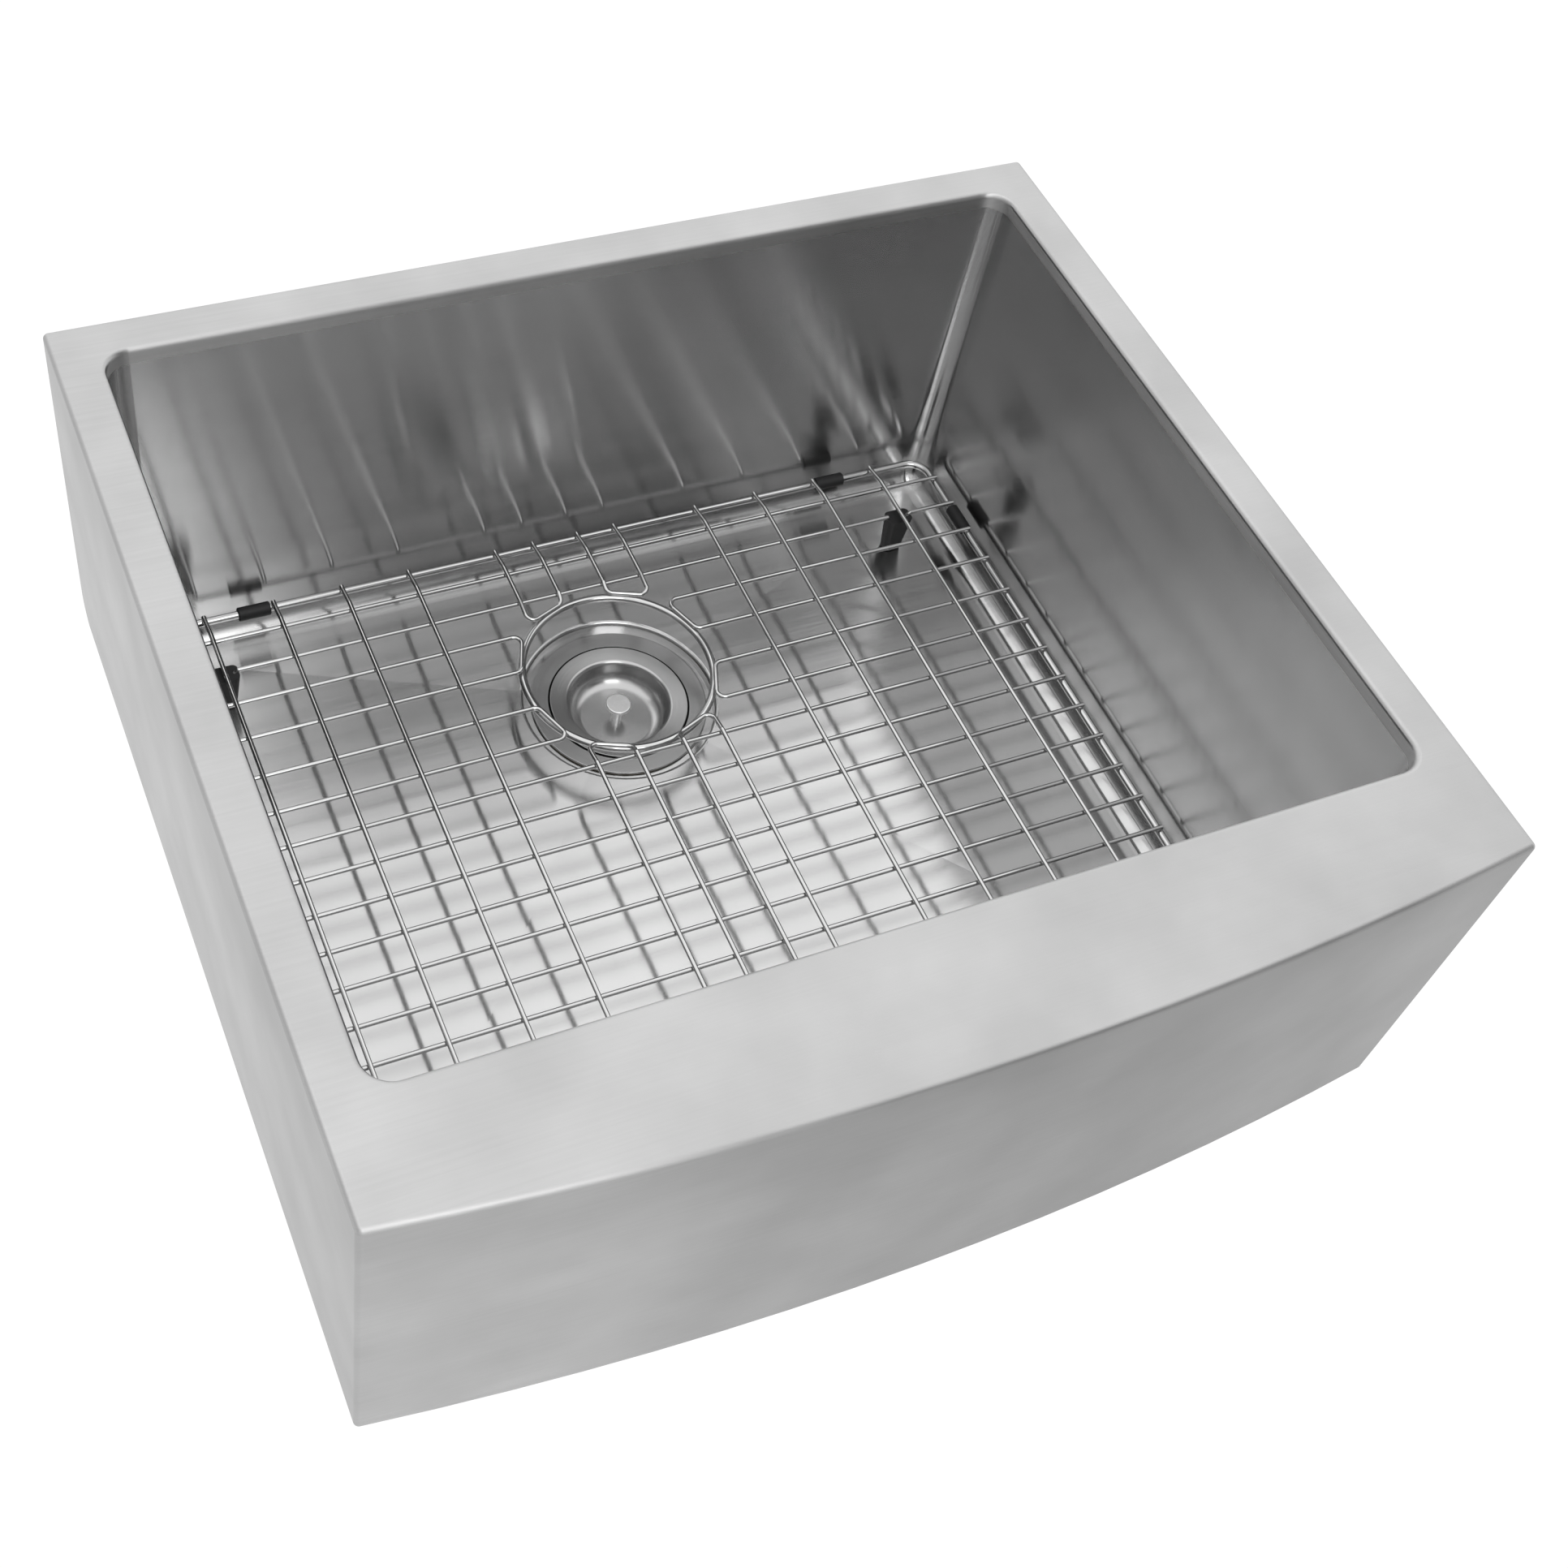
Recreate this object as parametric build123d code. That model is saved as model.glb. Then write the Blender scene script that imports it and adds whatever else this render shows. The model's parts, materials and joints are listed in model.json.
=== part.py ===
"""Apron-front farmhouse kitchen sink in stainless steel, with its drain, basket and bottom grid.

Millimetres. X runs from left to right along the apron, +Y points to the wall behind the sink
and +Z up. The origin is the middle of the back rim's top face, where a worktop bears on it.
"""
import math
import os
from build123d import *

# Rim, apron and side panels
SINK_WIDTH = 609.6          # 24 in over the side panels
SIDE_DEPTH = 548.5          # from the back edge of the rim to the apron's two corners
APRON_BOW = 20.5            # how far the middle of the apron stands ahead of its corners
APRON_HEIGHT = 231.5
RIM_WIDTH = 25.4            # flat rim at the back and at both sides
SHEET = 1.5                 # 16 gauge
FOLD_RADIUS = 3.0           # outside radius of a folded edge
RIM_LIP = 10.0              # depth to which the rim turns down into the bowl
BACK_LIP = 12.0             # depth to which the back edge turns down
RETURN_FLANGE = 15.0        # width of the flange turned in under the apron and side panels
PANEL_CORNER_RADIUS = 23.0  # lower rear corner of each side panel

# Bowl
BOWL_LENGTH = 462.0         # front to back, inside
BOWL_CORNER_RADIUS = 15.0
FLOOR_RADIUS = 15.0         # between the walls and the floor
FLOOR_EDGE_DEPTH = 250.5    # from the rim down to the floor where it leaves the walls
FLOOR_FALL = 3.5            # from the edge of the floor down to the drain
DRAIN_SETBACK = 123.6       # from the back wall to the drain's axis
RECESS_RADIUS = 62.0        # shallow dish that the drain flange sits in
RECESS_DEPTH = 4.8
RECESS_EDGE_RADIUS = 2.5
DRAIN_HOLE_RADIUS = 45.0

# Sound pads
PAD_THICKNESS = 3.0
PAD_CORNER_RADIUS = 20.0
SIDE_PAD_LENGTH = 300.0
END_PAD_LENGTH = 360.0
WALL_PAD_HEIGHT = 140.0
WALL_PAD_TOP = 50.0         # below the rim
FLOOR_PAD_WIDTH = 420.0
FLOOR_PAD_LENGTH = 210.0
FLOOR_PAD_GAP = 85.0        # from the drain's axis to the pad's near edge

# Strainer body
FLANGE_RADIUS = 57.15       # 4 1/2 in flange
FLANGE_SHEET = 1.2
FLANGE_DISH = 0.8           # fall of the flange from its edge to the neck
EDGE_ROUNDING = 0.45        # a pressed edge's radius, as a share of its sheet
PUTTY_THICKNESS = 1.2
PUTTY_SETBACK = 1.0         # from the flange's edge to the putty's
PUTTY_GAP = 0.02
NECK_BORE_RADIUS = 42.2
NECK_WALL = 1.4
NECK_ROLL_RADIUS = 3.0
SUMP_FLOOR_DEPTH = 27.6     # from the flange edge's top to the slotted floor
OUTLET_BORE_RADIUS = 20.5
OUTLET_RADIUS = 23.7        # outside of the outlet's thread
OUTLET_LENGTH = 22.0
SLOT_COUNT = 4
SLOT_WIDTH = 9.0
SLOT_MIDDLE_RADIUS = 13.5
SLOT_SWEEP = 36.0           # degrees between the centres of a slot's round ends

# Fasteners and seals under the floor
GASKET_RADIUS = 55.0
GASKET_THICKNESS = 3.0
FRICTION_RING_THICKNESS = 1.0
LOCK_NUT_RADIUS = 50.0
LOCK_NUT_HEIGHT = 8.0
LOCK_NUT_LUGS = 6
LOCK_NUT_LUG_LENGTH = 4.0
LOCK_NUT_LUG_WIDTH = 12.0
LOCK_NUT_LUG_CORNER = 2.0
THREAD_CLEARANCE = 0.15
TAIL_RADIUS = 19.05         # 1 1/2 in tube
TAIL_WALL = 1.0
TAIL_LENGTH = 100.0
TAIL_FLANGE_RADIUS = 23.0
TAIL_FLANGE_THICKNESS = 1.2
TAIL_WASHER_THICKNESS = 2.0
COUPLING_WALL = 3.5
COUPLING_LIP = 3.0
COUPLING_LIP_GAP = 0.95     # between the tube and the edge of the lip's hole
COUPLING_GRIP = 14.0        # length of thread that the coupling nut covers
COUPLING_BEVEL = 1.5
COUPLING_LUGS = 8
COUPLING_LUG_LENGTH = 3.0
COUPLING_LUG_WIDTH = 6.0
COUPLING_LUG_SETBACK = 2.0  # from the nut's top

# Basket
BASKET_SHEET = 0.8
BASKET_RADIUS = 44.7
BASKET_SEAT_GAP = 0.3
BASKET_RIM_FALL = 1.2       # from the basket's edge in to its cup
CUP_RADIUS = 32.8
CUP_DEPTH = 16.5
CUP_EDGE_RADIUS = 1.8
CUP_BOTTOM_RADIUS = 9.0
CUP_DRAFT = 6.0             # degrees that the cup's wall leans in
KNOB_RADIUS = 8.2
KNOB_THICKNESS = 2.4
KNOB_EDGE_RADIUS = 0.8
KNOB_STANDOFF = 12.9        # from the cup's floor to the underside of the knob
POST_RADIUS = 3.2
COLLAR_RADIUS = 4.6
COLLAR_HEIGHT = 2.0
COLLAR_BEVEL = 0.6
STEM_RADIUS = 2.5
STEM_BEVEL = 0.8
STEM_CLEARANCE = 0.05       # sliding fit in the socket
STEM_REACH = 9.0            # below the slotted floor
STOPPER_RADIUS = 30.0
STOPPER_HUB_RADIUS = 11.0
STOPPER_LIP = 2.5
STOPPER_NUT_RADIUS = 5.5
STOPPER_NUT_HEIGHT = 3.0
SOCKET_WALL = 1.5
SOCKET_LENGTH = 8.0
SOCKET_SLITS = 4
SOCKET_SLIT_WIDTH = 0.8

# Bottom grid
ROD_RADIUS = 2.5
WIRE_RADIUS = 1.5
WELD_GAP = 0.03
WIRE_OVERHANG = 1.0         # past the rod's centre line
GRID_CLEARANCE_LEFT = 5.0   # wall to the frame rod's centre line
GRID_CLEARANCE_RIGHT = 8.2
GRID_CLEARANCE_BACK = 10.6
GRID_CLEARANCE_FRONT = 24.6
GRID_CORNER_RADIUS = 14.0
GRID_SHIFT = -4.0           # the wire pattern lies this far beside the drain's axis
GRID_STANDING = 26.5        # from the floor's edge to the frame rod's centre line
RING_RADIUS = 61.0          # centre line of the ring round the drain
ROW_PITCH = 25.1
FIRST_ROW = 67.4            # from the ring's centre to the nearest whole cross wire
ROW_SPARE = 12.0            # least space from the last cross wire to the rod
COLUMN_PITCH = 44.4
FIRST_COLUMN = 101.0
COLUMN_SPARE = 15.0         # least space from the last long wire to the rod
CROSS_HAIRPIN_LEGS = (14.7, 42.2)
LONG_HAIRPIN_LEGS = (15.6, 41.8)
HAIRPIN_REACHES = (1.0, 4.0)  # how far its two bends lie outside the ring's centre line
HAIRPIN_BEND_RADIUS = 5.0
CLIMB_LEAD = 4.5            # a long wire is at its full height this far before the last cross wire
DROP_LEAD = 0.5             # past the first cross wire, where a long hairpin starts down to the ring
BUMPER_RADIUS = 4.4
BUMPER_LENGTH = 20.5
BUMPER_BEVEL = 0.5
BUMPER_FIT = 0.05
FOOT_TOP = (18.0, 12.0)
FOOT_BOTTOM = (12.5, 10.0)
FOOT_CORNER_RADIUS = 3.5
FOOT_FLOOR_GAP = 0.3
FOOT_LOOP_WIDTH = 13.0      # between the wire's two legs inside a foot
FOOT_LOOP_DEPTH = 9.0
FOOT_WIRE_BEND = 2.5        # length by which the wire cuts each corner of its loop

SMALL = 1.0                 # how far a cutter runs past what it cuts
TOUCH = 0.01                # how near two places are the same


def wires_that_fit(room, first, pitch, spare):
    """Count of wires from the first one outwards, at one pitch, that leave a space to spare."""
    return int((room - first - spare) / pitch) + 1


# Places worked out from the sizes above
BOWL_WIDTH = SINK_WIDTH - 2 * RIM_WIDTH
BACK_EDGE_Y = RIM_WIDTH / 2
BOWL_BACK_Y = -RIM_WIDTH / 2
BOWL_FRONT_Y = BOWL_BACK_Y - BOWL_LENGTH
BOWL_MIDDLE_Y = BOWL_BACK_Y - BOWL_LENGTH / 2
APRON_CORNER_Y = BACK_EDGE_Y - SIDE_DEPTH
BOW_RADIUS = (SINK_WIDTH ** 2 / 4 + APRON_BOW ** 2) / (2 * APRON_BOW)
BOW_CENTRE_Y = APRON_CORNER_Y - APRON_BOW + BOW_RADIUS
DRAIN_Y = BOWL_BACK_Y - DRAIN_SETBACK
RECESS_Z = -FLOOR_EDGE_DEPTH - FLOOR_FALL - RECESS_DEPTH
FLANGE_EDGE_Z = RECESS_Z + PUTTY_THICKNESS + FLANGE_SHEET
FLANGE_NECK_Z = FLANGE_EDGE_Z - FLANGE_DISH
SUMP_Z = FLANGE_EDGE_Z - SUMP_FLOOR_DEPTH
NECK_RADIUS = NECK_BORE_RADIUS + NECK_WALL
OUTLET_Z = SUMP_Z - FLANGE_SHEET - OUTLET_LENGTH
BASKET_RIM_Z = FLANGE_NECK_Z + BASKET_SEAT_GAP + BASKET_SHEET
CUP_FLOOR_Z = BASKET_RIM_Z - BASKET_RIM_FALL - CUP_DEPTH
RING_X = GRID_SHIFT
FRAME_LEFT = -BOWL_WIDTH / 2 + GRID_CLEARANCE_LEFT
FRAME_RIGHT = BOWL_WIDTH / 2 - GRID_CLEARANCE_RIGHT
FRAME_BACK = BOWL_BACK_Y - GRID_CLEARANCE_BACK
FRAME_FRONT = BOWL_FRONT_Y + GRID_CLEARANCE_FRONT
REAR_ROWS = wires_that_fit(FRAME_BACK - DRAIN_Y, FIRST_ROW, ROW_PITCH, ROW_SPARE)
FRONT_ROWS = wires_that_fit(DRAIN_Y - FRAME_FRONT, FIRST_ROW, ROW_PITCH, ROW_SPARE)
LAST_REAR_ROW = FIRST_ROW + (REAR_ROWS - 1) * ROW_PITCH
LAST_FRONT_ROW = FIRST_ROW + (FRONT_ROWS - 1) * ROW_PITCH
NARROW_SIDE = min(RING_X - FRAME_LEFT, FRAME_RIGHT - RING_X)
COLUMNS_PER_SIDE = wires_that_fit(NARROW_SIDE, FIRST_COLUMN, COLUMN_PITCH, COLUMN_SPARE)
FRAME_Z = -FLOOR_EDGE_DEPTH + GRID_STANDING
CROSS_Z = FRAME_Z + ROD_RADIUS + WIRE_RADIUS + WELD_GAP
LONG_Z = CROSS_Z + 2 * WIRE_RADIUS + WELD_GAP
COLUMNS = [FIRST_COLUMN + step * COLUMN_PITCH for step in range(COLUMNS_PER_SIDE)]


def apron_outline(inset):
    """Plan of the shell, drawn in by inset: straight back and sides, and a bowed front."""
    half = SINK_WIDTH / 2 - inset
    back = BACK_EDGE_Y - inset
    radius = BOW_RADIUS - inset
    corner = BOW_CENTRE_Y - math.sqrt(radius ** 2 - half ** 2)
    sides = Polyline((-half, corner), (-half, back), (half, back), (half, corner))
    front = ThreePointArc((half, corner), (0, BOW_CENTRE_Y - radius), (-half, corner))
    return make_face([*sides.edges(), front])


def apron_block(inset):
    """Solid that fills the folded shell, drawn in by inset, with all its edges rounded."""
    plan = Pos(0, 0, inset - APRON_HEIGHT) * apron_outline(inset)
    blank = extrude(plan, APRON_HEIGHT - 2 * inset)
    return fillet(blank.edges(), FOLD_RADIUS - inset)


def bowl_prism(offset, bottom, top):
    """Upright block over the bowl's inside plan, swollen by offset."""
    width = BOWL_WIDTH + 2 * offset
    plan = RectangleRounded(width, BOWL_LENGTH + 2 * offset, BOWL_CORNER_RADIUS + offset)
    return extrude(Pos(0, BOWL_MIDDLE_Y, bottom) * plan, top - bottom)


def with_bowl_opening(block, offset):
    """Cut the bowl's opening through a block and round the edge at its top."""
    block -= bowl_prism(offset, -APRON_HEIGHT - SMALL, SMALL)
    limit_x = BOWL_WIDTH / 2 + offset + TOUCH
    limit_y = BOWL_LENGTH / 2 + offset + TOUCH
    edges = [
        edge
        for edge in block.edges()
        if abs(edge.center().Z + offset) < TOUCH
        and abs(edge.center().X) < limit_x
        and abs(edge.center().Y - BOWL_MIDDLE_Y) < limit_y
    ]
    return fillet(edges, FOLD_RADIUS - offset)


def apron_shell():
    """Rim, bowed apron and side panels: one folded sheet, open below and behind."""
    shell = with_bowl_opening(apron_block(0), 0) - with_bowl_opening(apron_block(SHEET), SHEET)
    shell -= bowl_prism(SHEET + SMALL, -APRON_HEIGHT - SMALL, -RIM_LIP)
    under = Pos(0, 0, -APRON_HEIGHT - SMALL)
    shell -= extrude(under * apron_outline(RETURN_FLANGE), SHEET + 2 * SMALL)
    panel_back = BACK_EDGE_Y - FOLD_RADIUS
    behind = Box(SINK_WIDTH + 2 * SMALL, FOLD_RADIUS + SMALL, APRON_HEIGHT - BACK_LIP + SMALL,
                 align=(Align.CENTER, Align.MIN, Align.MIN))
    shell -= Pos(0, panel_back, -APRON_HEIGHT - SMALL) * behind
    relief = Box(SINK_WIDTH - 2 * FOLD_RADIUS, PANEL_CORNER_RADIUS + RETURN_FLANGE, SHEET + 2 * SMALL,
                 align=(Align.CENTER, Align.MAX, Align.MIN))
    shell -= Pos(0, panel_back + SMALL, -APRON_HEIGHT - SMALL) * relief
    corner = Box(SINK_WIDTH + 2 * SMALL, 2 * PANEL_CORNER_RADIUS, 2 * PANEL_CORNER_RADIUS)
    corner -= Pos(0, -PANEL_CORNER_RADIUS, PANEL_CORNER_RADIUS) * Rot(0, 90, 0) * Cylinder(
        PANEL_CORNER_RADIUS, SINK_WIDTH + 4 * SMALL)
    corner -= Pos(0, -2 * PANEL_CORNER_RADIUS, 0) * Box(
        SINK_WIDTH + 4 * SMALL, 2 * PANEL_CORNER_RADIUS, 4 * PANEL_CORNER_RADIUS)
    corner -= Pos(0, 0, 2 * PANEL_CORNER_RADIUS) * Box(
        SINK_WIDTH + 4 * SMALL, 4 * PANEL_CORNER_RADIUS, 2 * PANEL_CORNER_RADIUS)
    shell -= Pos(0, panel_back, -APRON_HEIGHT) * corner
    return shell


def bowl_core(offset, top):
    """Solid as large as the inside of the bowl and its drain recess, swollen by offset."""
    floor_z = -FLOOR_EDGE_DEPTH - offset
    core = bowl_prism(offset, floor_z, top)
    foot = core.faces().sort_by(Axis.Z)[0].edges()
    core = fillet(foot, min(FLOOR_RADIUS, BOWL_CORNER_RADIUS) + offset)
    floor = core.faces().sort_by(Axis.Z)[0]
    apex = Vertex(0, DRAIN_Y, floor_z - FLOOR_FALL)
    core += loft([floor, apex], ruled=True)
    recess = Cylinder(RECESS_RADIUS + offset, RECESS_DEPTH + FLOOR_FALL,
                      align=(Align.CENTER, Align.CENTER, Align.MIN))
    return core + Pos(0, DRAIN_Y, RECESS_Z - offset) * recess


def floor_height(x, y):
    """Height of the bowl's floor at a place outside the drain's recess."""
    radius = min(FLOOR_RADIUS, BOWL_CORNER_RADIUS)
    half = BOWL_WIDTH / 2 - radius
    edge = BOWL_BACK_Y - radius if y > DRAIN_Y else BOWL_FRONT_Y + radius
    share = min((half - abs(x)) / half, (edge - y) / (edge - DRAIN_Y))
    return -FLOOR_EDGE_DEPTH - FLOOR_FALL * share


def sink_bowl():
    """The bowl: straight walls, a floor creased in an X towards the drain, and the drain's recess."""
    bowl = bowl_core(SHEET, -RIM_LIP) - bowl_core(0, -RIM_LIP + SMALL)
    bowl -= Pos(0, DRAIN_Y, RECESS_Z) * Cylinder(DRAIN_HOLE_RADIUS, 2 * (SHEET + SMALL))
    recess_lip = [
        edge
        for edge in bowl.edges()
        if abs(math.hypot((edge @ 0.5).X, (edge @ 0.5).Y - DRAIN_Y) - RECESS_RADIUS) < TOUCH
        and edge.geom_type != GeomType.LINE
        and edge.center().Z > RECESS_Z + RECESS_DEPTH / 2
    ]
    return fillet(recess_lip, RECESS_EDGE_RADIUS)


def wall_pad(turn, wall_distance, length):
    """Sound pad against one wall of the bowl; turn is that wall's angle about Z from the front."""
    face = Rot(90, 0, 0) * RectangleRounded(length, WALL_PAD_HEIGHT, PAD_CORNER_RADIUS)
    pad = extrude(face, PAD_THICKNESS, dir=(0, -1, 0))
    place = Pos(0, BOWL_MIDDLE_Y, -WALL_PAD_TOP - WALL_PAD_HEIGHT / 2) * Rot(0, 0, turn)
    return place * Pos(0, -wall_distance - SHEET, 0) * pad


def floor_pad():
    """Sound pad under the floor, ahead of the drain, which follows the floor's creases."""
    layer = bowl_core(SHEET + PAD_THICKNESS, -RIM_LIP) - bowl_core(SHEET, -RIM_LIP + SMALL)
    middle = DRAIN_Y - FLOOR_PAD_GAP - FLOOR_PAD_LENGTH / 2
    under = RECESS_Z - SHEET - PAD_THICKNESS
    plan = Pos(0, middle, under) * RectangleRounded(FLOOR_PAD_WIDTH, FLOOR_PAD_LENGTH, PAD_CORNER_RADIUS)
    return layer & extrude(plan, -FLOOR_EDGE_DEPTH - under)


def turned(*corners):
    """Solid turned about the drain's axis; a corner is radius, height and, if rounded, its fillet."""
    section = make_face(Polyline(*[(corner[0], corner[1]) for corner in corners], close=True))
    for corner in corners:
        if len(corner) == 3:
            vertex = section.vertices().sort_by_distance((corner[0], corner[1], 0))[0]
            section = fillet(vertex, corner[2])
    return Pos(0, DRAIN_Y, 0) * revolve(Plane.XZ * section, Axis.Z)


def ring(inner, outer, bottom, top):
    """Flat ring about the drain's axis."""
    return turned((inner, bottom), (outer, bottom), (outer, top), (inner, top))


def around_drain(shape, count, radius, start=0.0):
    """Copies of a shape, spaced evenly round the drain's axis at one radius."""
    turns = [start + 360 * step / count for step in range(count)]
    return [Pos(0, DRAIN_Y, 0) * Rot(0, 0, turn) * Pos(radius, 0, 0) * shape for turn in turns]


def strainer_body():
    """Dished flange, threaded neck and slotted floor of the drain, as one pressed piece."""
    socket_radius = STEM_RADIUS + STEM_CLEARANCE + SOCKET_WALL
    under_floor = SUMP_Z - FLANGE_SHEET
    body = turned(
        (socket_radius, SUMP_Z),
        (NECK_BORE_RADIUS, SUMP_Z, NECK_ROLL_RADIUS),
        (NECK_BORE_RADIUS, FLANGE_NECK_Z, NECK_ROLL_RADIUS),
        (FLANGE_RADIUS, FLANGE_EDGE_Z, EDGE_ROUNDING * FLANGE_SHEET),
        (FLANGE_RADIUS, FLANGE_EDGE_Z - FLANGE_SHEET),
        (NECK_RADIUS, FLANGE_NECK_Z - FLANGE_SHEET),
        (NECK_RADIUS, under_floor, NECK_ROLL_RADIUS),
        (socket_radius, under_floor),
    )
    slot = SlotArc(CenterArc((0, 0), SLOT_MIDDLE_RADIUS, -SLOT_SWEEP / 2, SLOT_SWEEP), SLOT_WIDTH)
    cutter = extrude(Pos(0, 0, under_floor - SMALL) * slot, FLANGE_SHEET + 2 * SMALL)
    return body - around_drain(cutter, SLOT_COUNT, 0)


def lock_nut():
    """Ring nut with lugs round it, which draws the strainer body down onto the floor."""
    top = RECESS_Z - SHEET - GASKET_THICKNESS - FRICTION_RING_THICKNESS
    nut = ring(NECK_RADIUS + THREAD_CLEARANCE, LOCK_NUT_RADIUS, top - LOCK_NUT_HEIGHT, top)
    lug = Box(2 * LOCK_NUT_LUG_LENGTH, LOCK_NUT_LUG_WIDTH, LOCK_NUT_HEIGHT)
    lug = fillet(lug.edges().filter_by(Axis.Z), LOCK_NUT_LUG_CORNER)
    lug = Pos(0, 0, top - LOCK_NUT_HEIGHT / 2) * lug
    return nut + around_drain(lug, LOCK_NUT_LUGS, LOCK_NUT_RADIUS)


def post_socket():
    """Sleeve pressed into the strainer's floor; its slit fingers grip the basket's stem."""
    bore = STEM_RADIUS + STEM_CLEARANCE
    outer = bore + SOCKET_WALL
    collar_top = SUMP_Z - FLANGE_SHEET
    sleeve = turned(
        (bore, SUMP_Z), (outer, SUMP_Z), (outer, collar_top), (outer + SOCKET_WALL, collar_top),
        (outer + SOCKET_WALL, collar_top - SOCKET_WALL), (outer, collar_top - SOCKET_WALL),
        (outer, SUMP_Z - SOCKET_LENGTH), (bore, SUMP_Z - SOCKET_LENGTH),
    )
    depth = SOCKET_LENGTH - FLANGE_SHEET - 2 * SOCKET_WALL
    slit = Box(outer + SMALL, SOCKET_SLIT_WIDTH, 2 * depth)
    slit = Pos((outer + SMALL) / 2, 0, SUMP_Z - SOCKET_LENGTH) * slit
    return sleeve - around_drain(slit, SOCKET_SLITS, 0)


def tail_flange_top():
    """Height at which the tailpiece's flange meets its washer."""
    return OUTLET_Z - TAIL_WASHER_THICKNESS


def coupling_nut():
    """Nut that clamps the tailpiece's flange up against the strainer's outlet."""
    bore = OUTLET_RADIUS + THREAD_CLEARANCE
    neck = TAIL_RADIUS + COUPLING_LIP_GAP
    outer = bore + COUPLING_WALL
    top = OUTLET_Z + COUPLING_GRIP
    lip_top = tail_flange_top() - TAIL_FLANGE_THICKNESS
    bottom = lip_top - COUPLING_LIP
    nut = turned(
        (bore, top), (outer - COUPLING_BEVEL, top), (outer, top - COUPLING_BEVEL),
        (outer, bottom + COUPLING_BEVEL), (outer - COUPLING_BEVEL, bottom),
        (neck, bottom), (neck, lip_top), (bore, lip_top),
    )
    lug_top = top - COUPLING_LUG_SETBACK
    lug = Box(2 * COUPLING_LUG_LENGTH, COUPLING_LUG_WIDTH, lug_top - OUTLET_Z,
              align=(Align.CENTER, Align.CENTER, Align.MAX))
    return nut + around_drain(Pos(0, 0, lug_top) * lug, COUPLING_LUGS, outer)


def tailpiece():
    """Flanged tube that carries the waste on to a trap."""
    top = tail_flange_top()
    flange_under = top - TAIL_FLANGE_THICKNESS
    end = top - TAIL_LENGTH
    bore = TAIL_RADIUS - TAIL_WALL
    return turned(
        (bore, top), (TAIL_FLANGE_RADIUS, top), (TAIL_FLANGE_RADIUS, flange_under),
        (TAIL_RADIUS, flange_under), (TAIL_RADIUS, end), (bore, end),
    )


def basket_cup():
    """Pressed basket: a rim that falls gently to a deep plain cup with a rounded bottom."""
    lean = CUP_DEPTH * math.tan(math.radians(CUP_DRAFT))
    edge_z = BASKET_RIM_Z - BASKET_RIM_FALL
    foot_radius = CUP_RADIUS - lean
    hole = STEM_RADIUS + STEM_CLEARANCE
    return turned(
        (hole, CUP_FLOOR_Z),
        (foot_radius, CUP_FLOOR_Z, CUP_BOTTOM_RADIUS),
        (CUP_RADIUS, edge_z, CUP_EDGE_RADIUS + BASKET_SHEET),
        (BASKET_RADIUS, BASKET_RIM_Z, EDGE_ROUNDING * BASKET_SHEET),
        (BASKET_RADIUS, BASKET_RIM_Z - BASKET_SHEET, EDGE_ROUNDING * BASKET_SHEET),
        (CUP_RADIUS + BASKET_SHEET, edge_z - BASKET_SHEET, CUP_EDGE_RADIUS),
        (foot_radius + BASKET_SHEET, CUP_FLOOR_Z - BASKET_SHEET, CUP_BOTTOM_RADIUS + BASKET_SHEET),
        (hole, CUP_FLOOR_Z - BASKET_SHEET),
    )


def basket_knob():
    """Knob, collar, post and stem, turned from one bar; the stem slides in the post socket."""
    knob_under = CUP_FLOOR_Z + KNOB_STANDOFF
    collar_under = knob_under - COLLAR_HEIGHT
    stem_end = SUMP_Z - STEM_REACH
    return turned(
        (0, stem_end), (STEM_RADIUS - STEM_BEVEL, stem_end), (STEM_RADIUS, stem_end + STEM_BEVEL),
        (STEM_RADIUS, CUP_FLOOR_Z), (POST_RADIUS, CUP_FLOOR_Z), (POST_RADIUS, collar_under),
        (COLLAR_RADIUS - COLLAR_BEVEL, collar_under), (COLLAR_RADIUS, collar_under + COLLAR_BEVEL),
        (COLLAR_RADIUS, knob_under),
        (KNOB_RADIUS, knob_under, KNOB_EDGE_RADIUS),
        (KNOB_RADIUS, knob_under + KNOB_THICKNESS, KNOB_EDGE_RADIUS),
        (0, knob_under + KNOB_THICKNESS),
    )


def basket_stopper():
    """Rubber stopper under the cup; its flat lip closes the strainer's slots when it is down."""
    top = CUP_FLOOR_Z - BASKET_SHEET
    bottom = SUMP_Z + BASKET_SEAT_GAP
    hole = STEM_RADIUS + STEM_CLEARANCE
    nut_space = STOPPER_NUT_RADIUS + THREAD_CLEARANCE
    nut_top = bottom + STOPPER_NUT_HEIGHT
    return turned(
        (hole, top), (STOPPER_HUB_RADIUS, top),
        (STOPPER_HUB_RADIUS, bottom + 2 * STOPPER_LIP, STOPPER_LIP),
        (STOPPER_RADIUS, bottom + STOPPER_LIP), (STOPPER_RADIUS, bottom),
        (nut_space, bottom), (nut_space, nut_top), (hole, nut_top),
    )


def putty_ring():
    """Ring of putty that fills the space between the drain's recess and the dished flange."""
    inner, outer = DRAIN_HOLE_RADIUS, FLANGE_RADIUS - PUTTY_SETBACK
    slope = FLANGE_DISH / (FLANGE_RADIUS - NECK_RADIUS)
    level = FLANGE_NECK_Z - FLANGE_SHEET - PUTTY_GAP
    return turned(
        (inner, RECESS_Z), (outer, RECESS_Z),
        (outer, level + (outer - NECK_RADIUS) * slope), (inner, level + (inner - NECK_RADIUS) * slope))


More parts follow.
